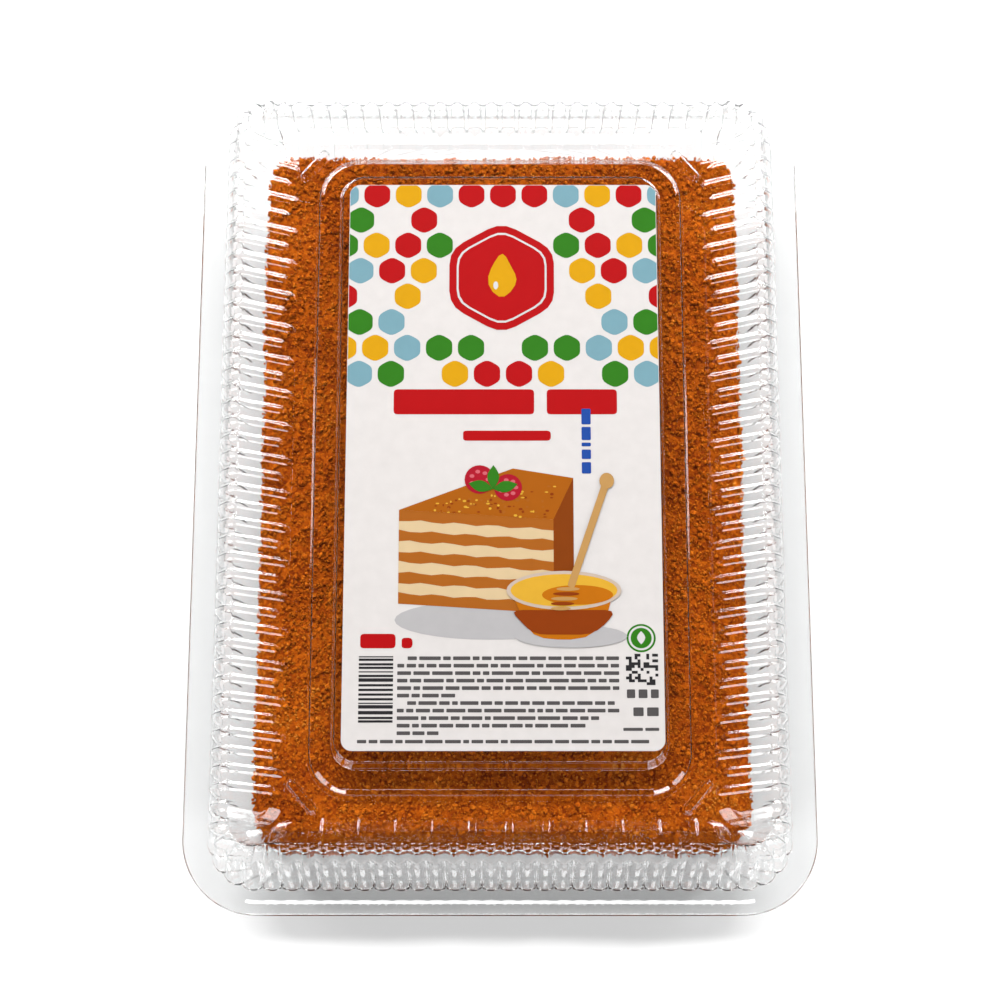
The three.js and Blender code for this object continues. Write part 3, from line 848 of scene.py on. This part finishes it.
honeycomb_pattern(21)
badge()
picture_slice()
picture_bowl()
small_print(8)
for left, low, right, high, tone in (
    (-33, 14.2, 9.4, 22.2, RED), (13.2, 14.2, 34.4, 22.2, RED), (-12, 5.8, 14.4, 9, RED),
    (-42, -58.6, -31.6, -54.2, RED), (-29.8, -58.6, -26.6, -55.4, RED),
):
    film(bar(left, low, right, high, 1.2), tone)
for n, tall in enumerate((3.6, 3.0, 1.2, 4.2, 5.0)):
    foot = -4.6 + (0, 4.6, 8.6, 10.6, 15.6)[n]
    film(bar(23.6, foot, 26.4, foot + tall, 0.4), STAMP, 1)
ring(oval(40.6, -55.5, 8.6, 8.6), oval(40.6, -55.5, 7.4, 7.4), WHITE, GREEN, 0)
film(oval(40.6, -55.5, 6.2, 6.2), GREEN, 2)
film(leaf(40.6, -57.4, 4, 2.4, 1.57), WHITE, 3)

top, side = LABEL_SIZE.y / 2 - 0.15, LABEL_SIZE.x / 2 - 0.15
for out in (Vector((x, y, 0)) for x, y in ((0, 1), (1, 0), (-1, 0), (1, 1), (-1, 1))):
    reach = abs(out.x) * side + abs(out.y) * top - (1.9 if out.x and out.y else 0)
    bmesh.ops.bisect_plane(
        print_bm, geom=print_bm.verts[:] + print_bm.edges[:] + print_bm.faces[:],
        plane_co=out * (reach / out.length_squared), plane_no=out, clear_outer=True,
    )
bmesh.ops.translate(print_bm, verts=print_bm.verts, vec=LABEL_CENTRE)
bmesh.ops.scale(print_bm, verts=print_bm.verts, vec=(0.001,) * 3)
print_mesh = bpy.data.meshes.new("label_print")
print_bm.to_mesh(print_mesh)
print_bm.free()
label_print = bpy.data.objects.new("label_print", print_mesh)
bpy.context.collection.objects.link(label_print)
ink_film = label_print.modifiers.new("film", "SOLIDIFY")
ink_film.thickness = FILM_DEPTH * 0.001
ink_film.offset = -1
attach(label_print, "root")


def printed_paper(name, printed):
    """Coated paper with faint clouding and fibres; printed takes its tone from the ink."""
    material = bpy.data.materials.new(name)
    material.use_nodes = True
    nodes, links = material.node_tree.nodes, material.node_tree.links
    coat = nodes["Principled BSDF"]
    coat.inputs["Roughness"].default_value = 0.5
    coat.inputs["Specular IOR Level"].default_value = 0.03
    place = nodes.new("ShaderNodeTexCoord")
    cloud = nodes.new("ShaderNodeTexNoise")
    cloud.inputs["Scale"].default_value = 260
    cloud.inputs["Detail"].default_value = 8
    lift = nodes.new("ShaderNodeMapRange")
    lift.inputs["To Min"].default_value = 0.94
    lift.inputs["To Max"].default_value = 1.06
    mottled = nodes.new("ShaderNodeMix")
    mottled.data_type = "RGBA"
    mottled.blend_type = "MULTIPLY"
    mottled.inputs["Factor"].default_value = 1
    bump = nodes.new("ShaderNodeBump")
    bump.inputs["Strength"].default_value = 0.15
    bump.inputs["Distance"].default_value = 0.0001
    links.new(place.outputs["Object"], cloud.inputs["Vector"])
    links.new(cloud.outputs["Fac"], lift.inputs["Value"])
    links.new(lift.outputs["Result"], mottled.inputs[7])
    if printed:
        tone = nodes.new("ShaderNodeVertexColor")
        tone.layer_name = "ink"
        links.new(tone.outputs["Color"], mottled.inputs[6])
    else:
        mottled.inputs[6].default_value = (*PAPER_TONE, 1)
    links.new(mottled.outputs[2], coat.inputs["Base Color"])
    links.new(cloud.outputs["Fac"], bump.inputs["Height"])
    links.new(bump.outputs["Normal"], coat.inputs["Normal"])
    return material


label.data.materials.clear()
label.data.materials.append(printed_paper("label_coated_paper", False))
print_mesh.materials.append(printed_paper("label_ink", True))

# The stage: a plain pale table, soft lamps behind, in front and at both sides, boxes that only
# show as shine on the plastic, and the camera in front and above, looking down at the pack.
floor_bm = bmesh.new()
bmesh.ops.create_grid(floor_bm, x_segments=8, y_segments=8, size=3)
floor_mesh = bpy.data.meshes.new("table_top")
floor_bm.to_mesh(floor_mesh)
floor_bm.free()
table = bpy.data.objects.new("table_top", floor_mesh)
bpy.context.collection.objects.link(table)
table_finish = bpy.data.materials.new("pale_table")
table_finish.use_nodes = True
table_nodes = table_finish.node_tree.nodes
pale = table_nodes["Principled BSDF"]
pale.inputs["Base Color"].default_value = (0.93, 0.93, 0.93, 1)
pale.inputs["Roughness"].default_value = 0.7
pale.inputs["Specular IOR Level"].default_value = 0.05
floor_mesh.materials.append(table_finish)


def soft_lamp(name, place, width, height, power, only_shine=False):
    """A rectangular lamp aimed at the middle of the table."""
    lamp = bpy.data.lights.new(name, "AREA")
    lamp.shape = "RECTANGLE"
    lamp.size, lamp.size_y = width, height
    lamp.energy = power
    piece = bpy.data.objects.new(name, lamp)
    piece.location = place
    piece.rotation_euler = (-Vector(place)).to_track_quat("-Z", "Y").to_euler()
    bpy.context.collection.objects.link(piece)
    piece.visible_camera = False
    piece.visible_diffuse = not only_shine


soft_lamp("lamp_behind", (0, 0.585, 0.93), 0.50, 0.08, 8.6)
soft_lamp("lamp_front", (0, -0.62, 1.02), 0.60, 0.16, 2.0)
for side, mark in ((-1, "left"), (1, "right")):
    soft_lamp("lamp_high_" + mark, (0.50 * side, 0.37, 1.05), 0.12, 0.12, 1.8)
    soft_lamp("box_far_" + mark, (0.80 * side, 0.86, 0.24), 0.50, 0.48, 6.8)
    soft_lamp("box_near_" + mark, (0.98 * side, -0.62, 0.55), 0.45, 0.75, 5.6)
    soft_lamp("shine_side_" + mark, (0.75 * side, 0.66, 0.45), 0.20, 0.24, 2.4, True)
    soft_lamp("shine_far_" + mark, (0.46 * side, 0.86, 0.36), 0.34, 0.50, 8.0, True)
    soft_lamp("shine_front_" + mark, (0.46 * side, -0.90, 0.36), 0.40, 0.50, 9.0, True)

world = bpy.data.worlds.new("studio")
bpy.context.scene.world = world
world.use_nodes = True
world.node_tree.nodes["Background"].inputs["Color"].default_value = (1, 1, 1, 1)
world.node_tree.nodes["Background"].inputs["Strength"].default_value = 0.02

AIM = Vector((0, 0, 0.0191))
DISTANCE, DOWN = 0.9, math.radians(72.2)
camera_data = bpy.data.cameras.new("photo_camera")
camera = bpy.data.objects.new("photo_camera", camera_data)
camera_data.lens = 104.4
camera_data.sensor_width = 36
camera_data.shift_y = -0.008
camera.location = AIM + Vector((0, -math.cos(DOWN), math.sin(DOWN))) * DISTANCE
camera.rotation_euler = (math.pi / 2 - DOWN, 0, 0)
bpy.context.collection.objects.link(camera)
scene = bpy.context.scene
scene.camera = camera
scene.view_settings.view_transform = "Standard"
scene.cycles.max_bounces = 12
scene.cycles.diffuse_bounces = 0
scene.cycles.transmission_bounces = 12
scene.cycles.transparent_max_bounces = 48
scene.cycles.caustics_reflective = False
scene.cycles.caustics_refractive = False
scene.cycles.sample_clamp_indirect = 6
